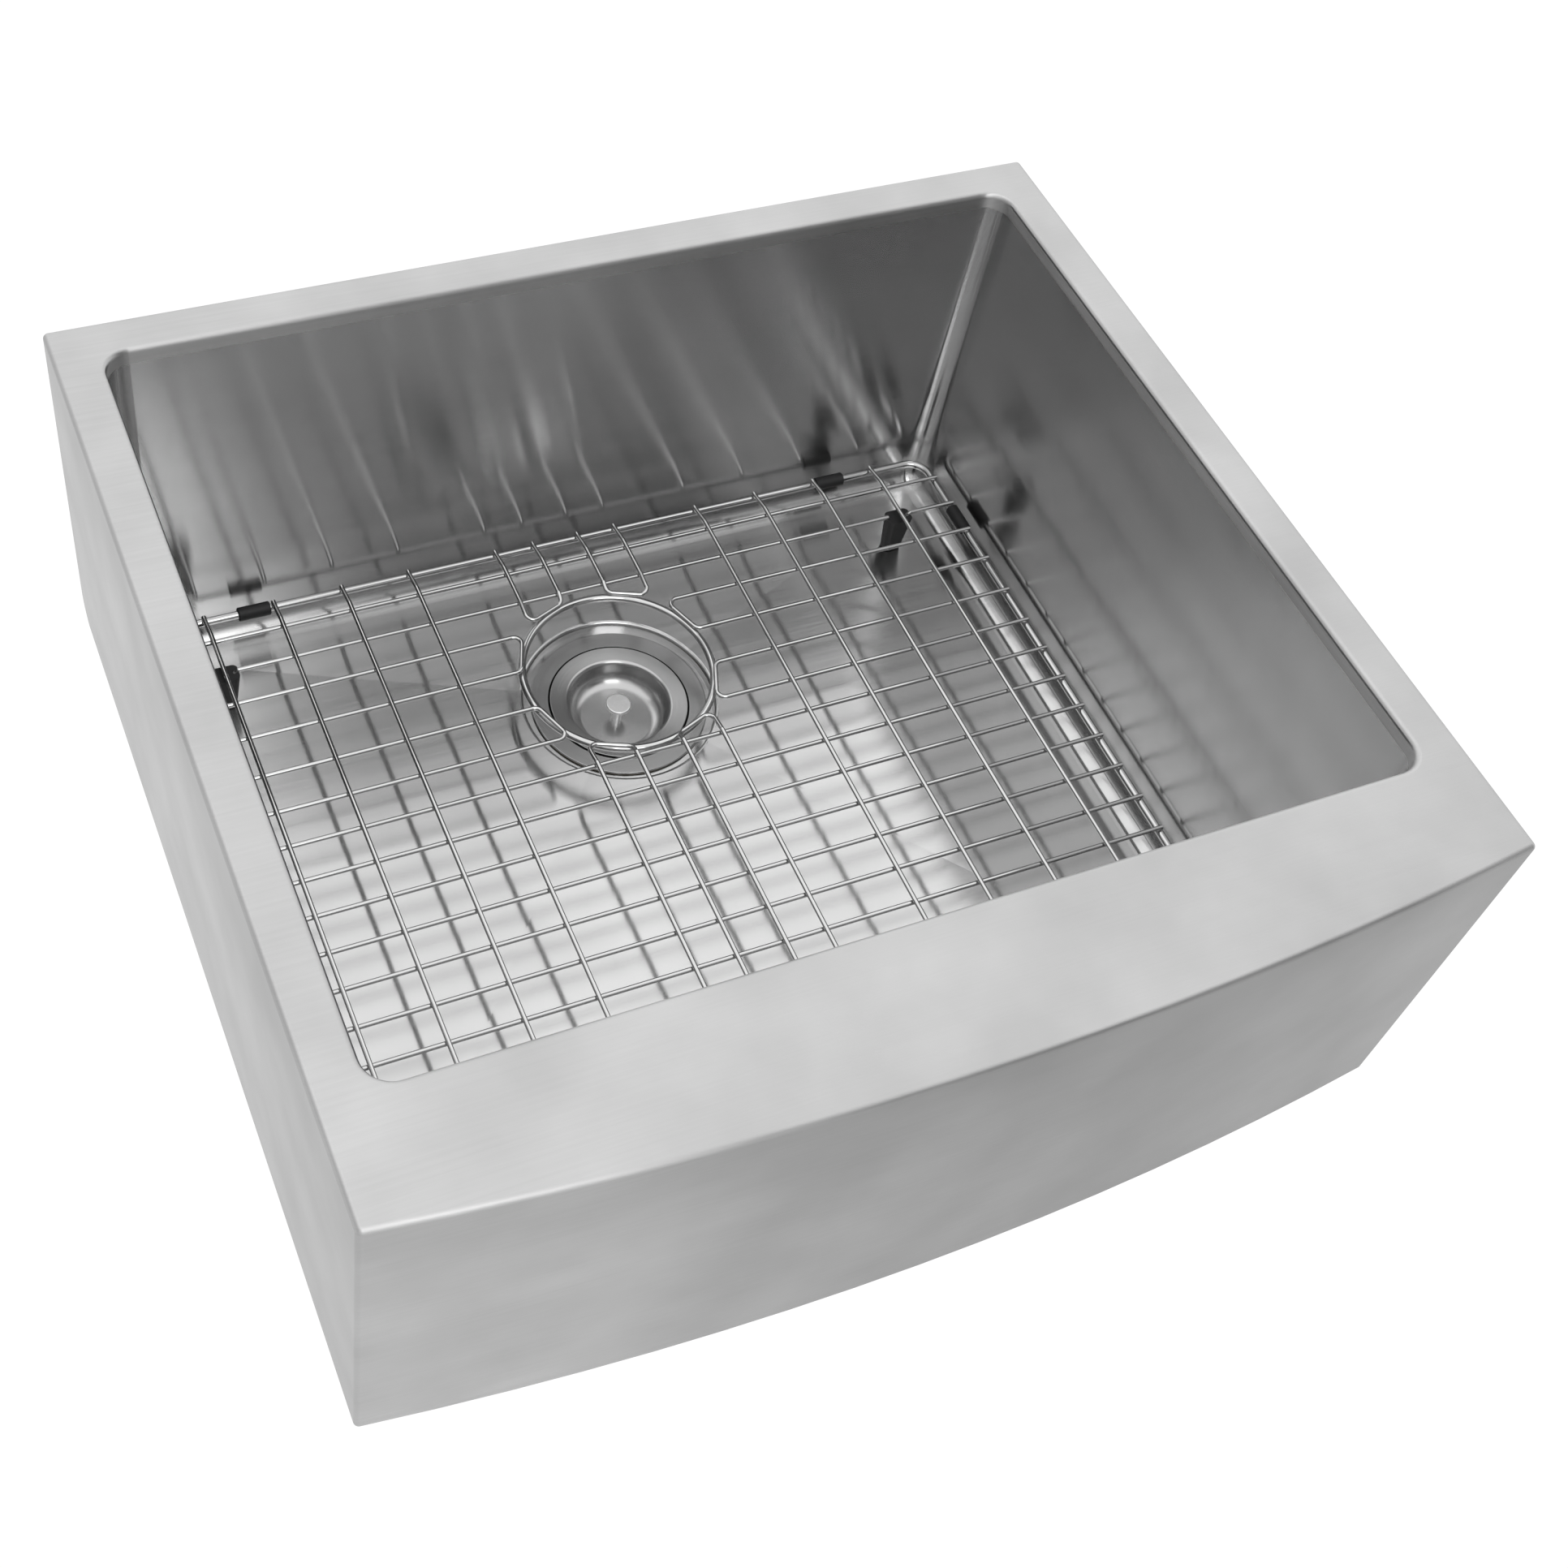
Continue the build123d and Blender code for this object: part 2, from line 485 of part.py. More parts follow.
def drain_solids():
    """Every fixed piece of the drain, by name."""
    under_bowl = RECESS_Z - SHEET
    under_gasket = under_bowl - GASKET_THICKNESS
    return {
        "strainer_body": strainer_body(),
        "strainer_outlet": ring(OUTLET_BORE_RADIUS, OUTLET_RADIUS, OUTLET_Z, SUMP_Z - FLANGE_SHEET),
        "drain_putty_ring": putty_ring(),
        "drain_gasket": ring(NECK_RADIUS + THREAD_CLEARANCE, GASKET_RADIUS, under_gasket, under_bowl),
        "friction_ring": ring(NECK_RADIUS + THREAD_CLEARANCE, LOCK_NUT_RADIUS + LOCK_NUT_LUG_LENGTH,
                              under_gasket - FRICTION_RING_THICKNESS, under_gasket),
        "lock_nut": lock_nut(),
        "post_socket": post_socket(),
        "tailpiece_washer": ring(TAIL_RADIUS, TAIL_FLANGE_RADIUS, tail_flange_top(), OUTLET_Z),
        "coupling_nut": coupling_nut(),
        "tailpiece": tailpiece(),
    }


def bent(points, bends, radius=WIRE_RADIUS):
    """Round wire through points; each bend has a radius, or 0 where the wire only turns a little."""
    path = FilletPolyline(*points, radius=bends) if bends else Line(*points)
    section = Plane(origin=path @ 0, z_dir=path % 0) * Circle(radius)
    return sweep(section, path=path, transition=Transition.RIGHT)


def grid_frame():
    """The rod bent into a rounded rectangle that the wires are welded to."""
    width = FRAME_RIGHT - FRAME_LEFT
    length = FRAME_BACK - FRAME_FRONT
    middle = Pos((FRAME_LEFT + FRAME_RIGHT) / 2, (FRAME_BACK + FRAME_FRONT) / 2, FRAME_Z)
    path = (middle * RectangleRounded(width, length, GRID_CORNER_RADIUS)).wire()
    return sweep(Plane(origin=path @ 0, z_dir=path % 0) * Circle(ROD_RADIUS), path=path)


def foot_places():
    """Plan positions of the four feet, by name, under the outermost long wires."""
    rear = DRAIN_Y + FIRST_ROW
    front = DRAIN_Y - LAST_FRONT_ROW + ROW_PITCH
    return {
        f"{end}_{side}": (RING_X + sign * COLUMNS[-1], row)
        for end, row in (("rear", rear), ("front", front))
        for side, sign in (("left", -1), ("right", 1))
    }


def foot_wire(row, radius=WIRE_RADIUS):
    """Cross wire that dips in a square loop, its corners cut, into the foot at each end."""
    half, cut = FOOT_LOOP_WIDTH / 2, FOOT_WIRE_BEND
    dip = CROSS_Z - FOOT_LOOP_DEPTH
    points = [(FRAME_LEFT - WIRE_OVERHANG, row, CROSS_Z)]
    for middle in (RING_X - COLUMNS[-1], RING_X + COLUMNS[-1]):
        left, right = middle - half, middle + half
        points += [(left - cut, row, CROSS_Z), (left, row, CROSS_Z - cut)]
        points += [(left, row, dip + cut), (left + cut, row, dip)]
        points += [(right - cut, row, dip), (right, row, dip + cut)]
        points += [(right, row, CROSS_Z - cut), (right + cut, row, CROSS_Z)]
    points.append((FRAME_RIGHT + WIRE_OVERHANG, row, CROSS_Z))
    return bent(points, [0] * (len(points) - 2), radius)


def cross_wires():
    """Whole wires from side to side, behind and ahead of the drain ring."""
    rows = [DRAIN_Y + FIRST_ROW + step * ROW_PITCH for step in range(REAR_ROWS)]
    rows += [DRAIN_Y - FIRST_ROW - step * ROW_PITCH for step in range(FRONT_ROWS)]
    foot_rows = [place[1] for place in foot_places().values()]
    left, right = FRAME_LEFT - WIRE_OVERHANG, FRAME_RIGHT + WIRE_OVERHANG
    wires = []
    for row in rows:
        if min(abs(row - foot_row) for foot_row in foot_rows) < TOUCH:
            wires.append(foot_wire(row))
        else:
            wires.append(bent([(left, row, CROSS_Z), (right, row, CROSS_Z)], None))
    return wires


def climb(rod, row, x):
    """Points of a long wire's end, from the frame rod up to the height at which it crosses the wires."""
    away = math.copysign(1, rod - row)
    return [
        (x, rod + away * WIRE_OVERHANG, CROSS_Z),
        (x, rod - away * WIRE_RADIUS, CROSS_Z),
        (x, row + away * CLIMB_LEAD, LONG_Z),
    ]


def long_wires():
    """Wires from front to back over the cross wires, either side of the drain ring."""
    wires = []
    for column in COLUMNS:
        for x in (RING_X - column, RING_X + column):
            front = climb(FRAME_FRONT, DRAIN_Y - LAST_FRONT_ROW, x)
            back = climb(FRAME_BACK, DRAIN_Y + LAST_REAR_ROW, x)
            wires.append(bent(front + back[::-1], [0, 0, 0, 0]))
    return wires


def hairpin_reach(leg, extra):
    """How far along its legs a hairpin's bend lies from the ring's centre."""
    return math.sqrt((RING_RADIUS + extra) ** 2 - leg ** 2)


def cross_hairpin(side, end):
    """Hairpin from a side of the frame to the drain ring; side and end are signs along X and Y."""
    rod = (FRAME_RIGHT if side > 0 else FRAME_LEFT) + side * WIRE_OVERHANG
    legs = [DRAIN_Y + end * leg for leg in CROSS_HAIRPIN_LEGS]
    bends = [
        RING_X + side * hairpin_reach(leg, extra)
        for leg, extra in zip(CROSS_HAIRPIN_LEGS, HAIRPIN_REACHES)
    ]
    points = [(rod, legs[0], CROSS_Z), (bends[0], legs[0], CROSS_Z)]
    points += [(bends[1], legs[1], CROSS_Z), (rod, legs[1], CROSS_Z)]
    return bent(points, [HAIRPIN_BEND_RADIUS, HAIRPIN_BEND_RADIUS])


def long_hairpin(side, end):
    """Hairpin from the front or back of the frame, over the cross wires, down to the drain ring."""
    rod = FRAME_BACK if end > 0 else FRAME_FRONT
    row = DRAIN_Y + (LAST_REAR_ROW if end > 0 else -LAST_FRONT_ROW)
    first_row = DRAIN_Y + end * (FIRST_ROW - DROP_LEAD)
    legs = [RING_X + side * leg for leg in LONG_HAIRPIN_LEGS]
    bends = [
        DRAIN_Y + end * hairpin_reach(leg, extra)
        for leg, extra in zip(LONG_HAIRPIN_LEGS, HAIRPIN_REACHES)
    ]
    points = climb(rod, row, legs[0])
    points += [(legs[0], first_row, LONG_Z), (legs[0], bends[0], CROSS_Z)]
    points += [(legs[1], bends[1], CROSS_Z), (legs[1], first_row, LONG_Z)]
    points += climb(rod, row, legs[1])[::-1]
    return bent(points, [0, 0, 0, HAIRPIN_BEND_RADIUS, HAIRPIN_BEND_RADIUS, 0, 0, 0])


def hairpins():
    """The eight hairpins that end on the drain ring, by name."""
    found = {}
    for side_name, side in (("left", -1), ("right", 1)):
        for end_name, end in (("front", -1), ("rear", 1)):
            found[f"hairpin_{side_name}_{end_name}"] = cross_hairpin(side, end)
            found[f"hairpin_{end_name}_{side_name}"] = long_hairpin(side, end)
    return found


def bumpers():
    """Rubber sleeves on the frame rod that keep the grid off the bowl's walls, by name."""
    sleeve = Cylinder(BUMPER_RADIUS, BUMPER_LENGTH)
    sleeve = chamfer(sleeve.edges(), BUMPER_BEVEL) - Cylinder(ROD_RADIUS + BUMPER_FIT, 2 * BUMPER_LENGTH)
    beside_column = COLUMNS[-2] + WIRE_RADIUS + BUMPER_LENGTH / 2 + SMALL
    rear_y = DRAIN_Y + FIRST_ROW - ROW_PITCH / 2
    front_y = DRAIN_Y - LAST_FRONT_ROW + ROW_PITCH + ROW_PITCH / 2
    found = {}
    for side_name, side in (("left", -1), ("right", 1)):
        for end_name, rod in (("front", FRAME_FRONT), ("rear", FRAME_BACK)):
            place = Pos(RING_X + side * beside_column, rod, FRAME_Z) * Rot(0, 90, 0)
            found[f"bumper_{end_name}_{side_name}"] = place * sleeve
        rod_x = FRAME_RIGHT if side > 0 else FRAME_LEFT
        for end_name, y in (("front", front_y), ("rear", rear_y)):
            found[f"bumper_{side_name}_{end_name}"] = Pos(rod_x, y, FRAME_Z) * Rot(90, 0, 0) * sleeve
    return found


def grid_feet():
    """Tapered rubber feet moulded round the dips in the foot wires, by name."""
    places = foot_places()
    under = [floor_height(x + math.copysign(FOOT_BOTTOM[0] / 2, x), y) for x, y in places.values()]
    bottom = max(under) + FOOT_FLOOR_GAP
    top = CROSS_Z - WIRE_RADIUS - WELD_GAP
    found = {}
    for name, (x, y) in places.items():
        foot = loft([
            Pos(x, y, bottom) * RectangleRounded(*FOOT_BOTTOM, FOOT_CORNER_RADIUS),
            Pos(x, y, top) * RectangleRounded(*FOOT_TOP, FOOT_CORNER_RADIUS),
        ])
        found[f"foot_{name}"] = foot - foot_wire(y, WIRE_RADIUS + BUMPER_FIT)
    return found


def every_node():
    """Each node's name with its solid or its group of like solids."""
    half_width = BOWL_WIDTH / 2
    half_length = BOWL_LENGTH / 2
    nodes = {
        "apron_shell": apron_shell(),
        "sink_bowl": sink_bowl(),
        "front_wall_pad": wall_pad(0, half_length, END_PAD_LENGTH),
        "right_wall_pad": wall_pad(90, half_width, SIDE_PAD_LENGTH),
        "back_wall_pad": wall_pad(180, half_length, END_PAD_LENGTH),
        "left_wall_pad": wall_pad(270, half_width, SIDE_PAD_LENGTH),
        "floor_pad": floor_pad(),
        "basket_cup": basket_cup(),
        "basket_knob": basket_knob(),
        "basket_stopper": basket_stopper(),
        "stopper_nut": ring(STEM_RADIUS + STEM_CLEARANCE, STOPPER_NUT_RADIUS,
                            SUMP_Z + BASKET_SEAT_GAP, SUMP_Z + BASKET_SEAT_GAP + STOPPER_NUT_HEIGHT),
        "grid_frame": grid_frame(),
        "grid_cross_wires": Compound(cross_wires()),
        "grid_long_wires": Compound(long_wires()),
        "drain_ring": Pos(RING_X, DRAIN_Y, FRAME_Z) * Torus(RING_RADIUS, ROD_RADIUS),
    }
    return nodes | drain_solids() | hairpins() | bumpers() | grid_feet()


if __name__ == "__main__":
    os.makedirs("parts", exist_ok=True)
    for node_name, shape in every_node().items():
        export_step(shape, f"parts/{node_name}.step")
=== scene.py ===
"""Studio scene of a stainless steel apron-front sink with its drain, basket and bottom grid.

Metres, in the frame of the CAD model: X runs along the apron, +Y to the wall behind the sink and
+Z up, from the middle of the back rim's top face.
"""
import json
import logging
import math
from dataclasses import dataclass, field
from enum import Enum

import bpy
from mathutils import Matrix, Vector

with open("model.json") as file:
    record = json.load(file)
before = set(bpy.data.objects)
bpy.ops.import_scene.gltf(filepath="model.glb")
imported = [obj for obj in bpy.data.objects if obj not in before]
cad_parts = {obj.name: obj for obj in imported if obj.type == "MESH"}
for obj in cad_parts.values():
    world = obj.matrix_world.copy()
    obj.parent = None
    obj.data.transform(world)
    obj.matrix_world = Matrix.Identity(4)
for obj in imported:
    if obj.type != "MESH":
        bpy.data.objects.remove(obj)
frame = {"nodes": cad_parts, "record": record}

LOG = logging.getLogger("apron_sink")
MM = 0.001
IMAGE_SIDE = 1932
WHITE = (1.0, 1.0, 1.0, 1.0)


def linear(hex_colour: str) -> tuple[float, float, float, float]:
    """Turn an sRGB colour into the linear colour that a shader takes, by the standard's two-part curve.

    Args:
        hex_colour: Six hex digits, such as "C4C4C2".

    Returns:
        Red, green, blue and an alpha of 1.
    """
    channels = [int(hex_colour[start:start + 2], 16) / 255 for start in (0, 2, 4)]
    return (*[c / 12.92 if c <= 0.04045 else ((c + 0.055) / 1.055) ** 2.4 for c in channels], 1.0)


def add(tree: bpy.types.NodeTree, kind: str, inputs: dict | None = None,
        **settings: object) -> bpy.types.Node:
    """Add a node to a tree, with its settings, input values and links.

    Args:
        tree: Node tree that the node goes into.
        kind: Blender's name for the type of node.
        inputs: Value or output socket for each input, by name or index.
        **settings: Properties of the node itself.

    Returns:
        The new node.
    """
    node = tree.nodes.new(kind)
    for name, value in settings.items():
        setattr(node, name, value)
    for key, value in (inputs or {}).items():
        if isinstance(value, bpy.types.NodeSocket):
            tree.links.new(value, node.inputs[key])
        else:
            node.inputs[key].default_value = value
    return node


def empty_material(name: str) -> tuple[bpy.types.Material, bpy.types.NodeTree]:
    """Make a material with no nodes in it.

    Args:
        name: Name of the material.

    Returns:
        The material and its node tree.
    """
    made = bpy.data.materials.new(name)
    made.use_nodes = True
    made.node_tree.nodes.clear()
    return made, made.node_tree


class Grain(Enum):
    """Direction in which a piece was brushed."""

    ALONG_APRON = "x"
    ROUND_AXIS = "turned"


@dataclass(frozen=True)
class BrushedSteel:
    """Stainless steel brushed with fine grit, which draws its highlights out in one direction."""

    name: str
    grain: Grain = Grain.ALONG_APRON
    colour: str = "C4C4C4"
    roughness: float = 0.25
    level_roughness: float = 0.25    # of faces that look up or down
    anisotropy: float = 1.0
    line_pitch: float = 2.2 * MM     # drawn coarser than the real scratches, so that it shows
    line_length: float = 90 * MM
    line_depth: float = 0.02         # share by which the lines change the colour
    line_roughness: float = 0.015
    cloud_size: float = 90 * MM      # soft patches that the polishing wheel leaves
    cloud_depth: float = 0.05
    noise_middle: tuple[float, float] = (0.3, 0.7)   # between which most of a noise's values lie
    painted_wall_shade: float = 0.0          # share of painted shade on upright faces
    painted_fold_shade: float = 0.0          # further share of painted shade, greatest at the fold of the rim
    painted_fold_height: float = 90 * MM     # below the fold, over which that share fades out
    side_facing: float = 0.9995      # share of its normal along X above which a face is a flat side wall
    side_stretch: tuple[float, float, float] = (0.0, 0.0, 1.0)   # way that highlights are drawn out there
    axis_y: float = -136.3 * MM      # of the drain, round which the spun pieces were brushed
    ring_stretch: float = 0.2        # draws the noise out along X, so that the rings hardly break
    gap_shadow_radius: float = 0.0          # of the painted shadow line where the basket's edge lies on the flange
    gap_shadow_width: float = 1.5 * MM
    gap_shadow_edges: tuple[float, float] = (0.3, 0.6)   # shares of that width over which the line fades out
    gap_shadow_tone: float = 0.02           # share of the colour that is left in the painted shadow line

    def straight_brushing(self, tree: bpy.types.NodeTree) -> tuple[bpy.types.NodeSocket, ...]:
        """Brush along X, and along Y on the flat side walls.

        Args:
            tree: Node tree that the nodes go into.

        Returns:
            The direction in which highlights are drawn out, and coordinates with X along and Y across
            the lines.
        """
        place = add(tree, "ShaderNodeTexCoord").outputs["Object"]
        normal = add(tree, "ShaderNodeNewGeometry").outputs["True Normal"]
        across = add(tree, "ShaderNodeVectorMath", {
            0: normal, 1: (1.0, 0.0, 0.0)}, operation="CROSS_PRODUCT")
        facing = add(tree, "ShaderNodeSeparateXYZ", {0: normal})
        sideways = add(tree, "ShaderNodeMath", {0: facing.outputs["X"]}, operation="ABSOLUTE")
        on_side = add(tree, "ShaderNodeMath", {
            0: sideways.outputs[0], 1: self.side_facing}, operation="GREATER_THAN")
        stretch = add(tree, "ShaderNodeMix", {
            "Factor": on_side.outputs[0], 4: across.outputs[0], 5: self.side_stretch}, data_type="VECTOR")
        spot = add(tree, "ShaderNodeSeparateXYZ", {0: place})
        depth = add(tree, "ShaderNodeMath", {0: spot.outputs["Y"], 1: spot.outputs["Z"]}, operation="ADD")
        straight = add(tree, "ShaderNodeCombineXYZ", {"X": spot.outputs["X"], "Y": depth.outputs[0]})
        turned = add(tree, "ShaderNodeCombineXYZ", {"X": spot.outputs["Y"], "Y": spot.outputs["Z"]})
        track = add(tree, "ShaderNodeMix", {
            "Factor": on_side.outputs[0], 4: straight.outputs[0],
            5: turned.outputs[0]}, data_type="VECTOR")
        return stretch.outputs[1], track.outputs[1]

    def round_brushing(self, tree: bpy.types.NodeTree) -> tuple[bpy.types.NodeSocket, ...]:
        """Brush in rings round the drain's axis.

        Args:
            tree: Node tree that the nodes go into.

        Returns:
            The direction in which highlights are drawn out, coordinates with X along and Y across the
            lines, and the distance from the axis.
        """
        place = add(tree, "ShaderNodeTexCoord").outputs["Object"]
        normal = add(tree, "ShaderNodeNewGeometry").outputs["True Normal"]
        centred = add(tree, "ShaderNodeMapping", {"Vector": place, "Location": (0, -self.axis_y, 0)})
        from_axis = add(tree, "ShaderNodeVectorMath", {
            0: centred.outputs[0], 1: (1.0, 1.0, 0.0)}, operation="MULTIPLY")
        radius = add(tree, "ShaderNodeVectorMath", {0: from_axis.outputs[0]}, operation="LENGTH")
        round_it = add(tree, "ShaderNodeVectorMath", {
            0: (0.0, 0.0, 1.0), 1: from_axis.outputs[0]}, operation="CROSS_PRODUCT")
        across = add(tree, "ShaderNodeVectorMath", {
            0: normal, 1: round_it.outputs[0]}, operation="CROSS_PRODUCT")
        spot = add(tree, "ShaderNodeSeparateXYZ", {0: centred.outputs[0]})
        outwards = add(tree, "ShaderNodeMath", {
            0: radius.outputs["Value"], 1: spot.outputs["Z"]}, operation="ADD")
        along = add(tree, "ShaderNodeMath", {
            0: spot.outputs["X"], 1: self.ring_stretch}, operation="MULTIPLY")
        track = add(tree, "ShaderNodeCombineXYZ", {"X": along.outputs[0], "Y": outwards.outputs[0]})
        return across.outputs[0], track.outputs[0], radius.outputs["Value"]

    def swung(self, tree: bpy.types.NodeTree, value: bpy.types.NodeSocket, middle: float,
              swing: float) -> bpy.types.NodeSocket:
        """Spread a noise's middle range over a value and its swing to both sides.

        Args:
            tree: Node tree that the node goes into.
            value: Noise, from 0 to 1.
            middle: What the noise's middle gives.
            swing: How far it goes to each side.

        Returns:
            The spread value, as an output socket.
        """
        low, high = self.noise_middle
        return add(tree, "ShaderNodeMapRange", {
            "Value": value, "From Min": low, "From Max": high,
            "To Min": middle - swing, "To Max": middle + swing}).outputs[0]

    def painted_upright_shade(self, tree: bpy.types.NodeTree, place: bpy.types.NodeSocket,
                      level: bpy.types.NodeSocket) -> bpy.types.NodeSocket:
        """Darken upright faces a little with painted shade, most at the fold of the rim.

        Args:
            tree: Node tree that the nodes go into.
            place: Object coordinates.
            level: 0 on an upright face and 1 on a level one.

        Returns:
            What to multiply the colour by, as an output socket.
        """
        spot = add(tree, "ShaderNodeSeparateXYZ", {0: place})
        painted_fold_band = add(tree, "ShaderNodeMapRange", {
            "Value": spot.outputs["Z"], "From Min": -self.painted_fold_height, "From Max": 0.0,
            "To Min": 1.0 - self.painted_wall_shade, "To Max": 1.0 - self.painted_wall_shade - self.painted_fold_shade},
            interpolation_type="SMOOTHSTEP")
        return add(tree, "ShaderNodeMix", {"Factor": level, 2: painted_fold_band.outputs[0], 3: 1.0}).outputs[0]

    def material(self) -> bpy.types.Material:
        """Build the material: a stretched noise for the brushing, and a slow one for the patches.

        Returns:
            The finished material.
        """
        made, tree = empty_material(self.name)
        radius = None
        if self.grain is Grain.ROUND_AXIS:
            stretch, track, radius = self.round_brushing(tree)
        else:
            stretch, track = self.straight_brushing(tree)
        place = add(tree, "ShaderNodeTexCoord").outputs["Object"]
        stretched = add(tree, "ShaderNodeMapping", {
            "Vector": track, "Scale": (1 / self.line_length, 1 / self.line_pitch, 1.0)})
        lines = add(tree, "ShaderNodeTexNoise", {
            "Vector": stretched.outputs[0], "Scale": 1.0, "Detail": 3.0, "Roughness": 0.6}).outputs[0]
        clouds = add(tree, "ShaderNodeTexNoise", {
            "Vector": place, "Scale": 1 / self.cloud_size, "Detail": 3.0, "Roughness": 0.5}).outputs[0]
        normal = add(tree, "ShaderNodeNewGeometry").outputs["True Normal"]
        facing = add(tree, "ShaderNodeSeparateXYZ", {0: normal})
        level = add(tree, "ShaderNodeMath", {0: facing.outputs["Z"]}, operation="ABSOLUTE").outputs[0]
        shade = add(tree, "ShaderNodeMath", {
            0: self.swung(tree, clouds, 1.0, self.cloud_depth),
            1: self.swung(tree, lines, 1.0, self.line_depth)}, operation="MULTIPLY").outputs[0]
        # painted shade on upright faces, deepest just below the fold of the rim
        if self.painted_wall_shade or self.painted_fold_shade:
            shade = add(tree, "ShaderNodeMath", {
                0: shade, 1: self.painted_upright_shade(tree, place, level)}, operation="MULTIPLY").outputs[0]
        # painted shadow: a dark ring on the flange where the basket's edge lies on it
        if self.gap_shadow_radius:
            offset = add(tree, "ShaderNodeMath", {0: radius, 1: self.gap_shadow_radius}, operation="SUBTRACT")
            distance = add(tree, "ShaderNodeMath", {0: offset.outputs[0]}, operation="ABSOLUTE")
            inner, outer = self.gap_shadow_edges
            clear = add(tree, "ShaderNodeMapRange", {
                "Value": distance.outputs[0], "From Min": inner * self.gap_shadow_width,
                "From Max": outer * self.gap_shadow_width, "To Min": self.gap_shadow_tone})
            shade = add(tree, "ShaderNodeMath", {
                0: shade, 1: clear.outputs[0]}, operation="MULTIPLY").outputs[0]
        tint = add(tree, "ShaderNodeVectorMath", {
            0: linear(self.colour)[:3], "Scale": shade}, operation="SCALE")
        ground = add(tree, "ShaderNodeMapRange", {
            "Value": level, "To Min": self.roughness, "To Max": self.level_roughness})
        rough = add(tree, "ShaderNodeMath", {
            0: ground.outputs[0], 1: self.swung(tree, lines, 0.0, self.line_roughness)})
        shader = add(tree, "ShaderNodeBsdfPrincipled", {
            "Base Color": tint.outputs[0], "Metallic": 1.0, "Roughness": rough.outputs[0],
            "Anisotropic": self.anisotropy, "Tangent": stretch})
        add(tree, "ShaderNodeOutputMaterial", {"Surface": shader.outputs[0]})
        return made


@dataclass(frozen=True)
class PlainFinish:
    """Metal or rubber with one colour, slight mottling and a fine grain in its gloss."""

    name: str
    colour: str
    roughness: float
    metallic: float = 0.0
    grain: float = 2 * MM            # drawn coarser than the real grain, so that it shows
    grain_depth: float = 0.01 * MM   # 0 leaves the surface smooth
    mottle: float = 0.08             # share by which the grain changes colour and gloss

    def material(self) -> bpy.types.Material:
        """Build the material from one noise that moves colour, gloss and height together.

        Returns:
            The finished material.
        """
        made, tree = empty_material(self.name)
        place = add(tree, "ShaderNodeTexCoord").outputs["Object"]
        noise = add(tree, "ShaderNodeTexNoise", {
            "Vector": place, "Scale": 1 / self.grain, "Detail": 3.0, "Roughness": 0.55})
        shade = add(tree, "ShaderNodeMix", {
            "Factor": noise.outputs[0], 2: 1.0 - self.mottle, 3: 1.0 + self.mottle})
        tint = add(tree, "ShaderNodeVectorMath", {
            0: linear(self.colour)[:3], "Scale": shade.outputs[0]}, operation="SCALE")
        rough = add(tree, "ShaderNodeMath", {
            0: shade.outputs[0], 1: self.roughness}, operation="MULTIPLY")
        bump = add(tree, "ShaderNodeBump", {
            "Height": noise.outputs[0], "Distance": self.grain_depth, "Strength": 1.0})
        shader = add(tree, "ShaderNodeBsdfPrincipled", {
            "Base Color": tint.outputs[0], "Metallic": self.metallic, "Roughness": rough.outputs[0],
            "Normal": bump.outputs[0]})
        add(tree, "ShaderNodeOutputMaterial", {"Surface": shader.outputs[0]})
        return made


Finish = BrushedSteel | PlainFinish


@dataclass
class SubAssembly:
    """Pieces that belong together, and the finish of each of the material slots that they use."""

    finishes: dict[str, Finish] = field(default_factory=dict)
    node_finishes: dict[str, Finish] = field(default_factory=dict)   # where one piece differs

    def nodes(self) -> dict[str, str]:
        """Find this sub-assembly's CAD nodes.

        Returns:
            The material slot of each node, by the node's name.
        """
        parts = frame["record"]["subparts"]
        return {part["node"]: part["material_slot"] for part in parts if self.holds(part["node"])}

    def holds(self, node: str) -> bool:
        """Say whether a node belongs to this sub-assembly."""
        raise NotImplementedError

    def dress(self) -> None:
        """Give each node its material, and report it."""
        made: dict[str, bpy.types.Material] = {}
        for node, slot in self.nodes().items():
            finish = self.node_finishes.get(node) or self.finishes[slot]
            if finish.name not in made:
                made[finish.name] = finish.material()
            mesh = frame["nodes"][node].data
            mesh.materials.clear()
            mesh.materials.append(made[finish.name])
            LOG.info("%s: %s is %s", type(self).__name__, node, finish.name)


@dataclass
class ApronShell(SubAssembly):
    """Folded sheet with the rim, the bowed apron and the two side panels."""

    finishes: dict[str, Finish] = field(default_factory=lambda: {
        # 304 stainless sheet, brushed along the apron: pale satin grey with soft smudges, and painted
        # shade just below the fold of the rim
        "apron_steel": BrushedSteel(
            "brushed_apron_sheet", colour="BCBCBC", roughness=0.40, level_roughness=0.40, anisotropy=0.9,
            line_depth=0.04, line_roughness=0.03, cloud_size=75 * MM, cloud_depth=0.075,
            painted_fold_shade=0.10)})

    def holds(self, node: str) -> bool:
        """Say whether a node belongs to this sub-assembly."""
        return node == "apron_shell"


@dataclass
class Bowl(SubAssembly):
    """Welded bowl and the sound pads glued to its outside."""

    finishes: dict[str, Finish] = field(default_factory=lambda: {
        # 304 stainless sheet, polished finer than the apron: dark mirror-like walls, darkened further by
        # painted shade, drawn-out streaks
        "bowl_steel": BrushedSteel(
            "brushed_bowl_sheet", roughness=0.15, level_roughness=0.16, line_depth=0.012,
            painted_wall_shade=0.12, side_stretch=(0.0, 0.8, 0.6)),
        # butyl rubber sheet: dull mottled charcoal
        "pad_rubber": PlainFinish(
            "butyl_sound_pad", "3A3B3D", 0.8, grain=5 * MM, grain_depth=0.3 * MM, mottle=0.22)})

    def holds(self, node: str) -> bool:
        """Say whether a node belongs to this sub-assembly."""
        return node == "sink_bowl" or node.endswith("_pad")


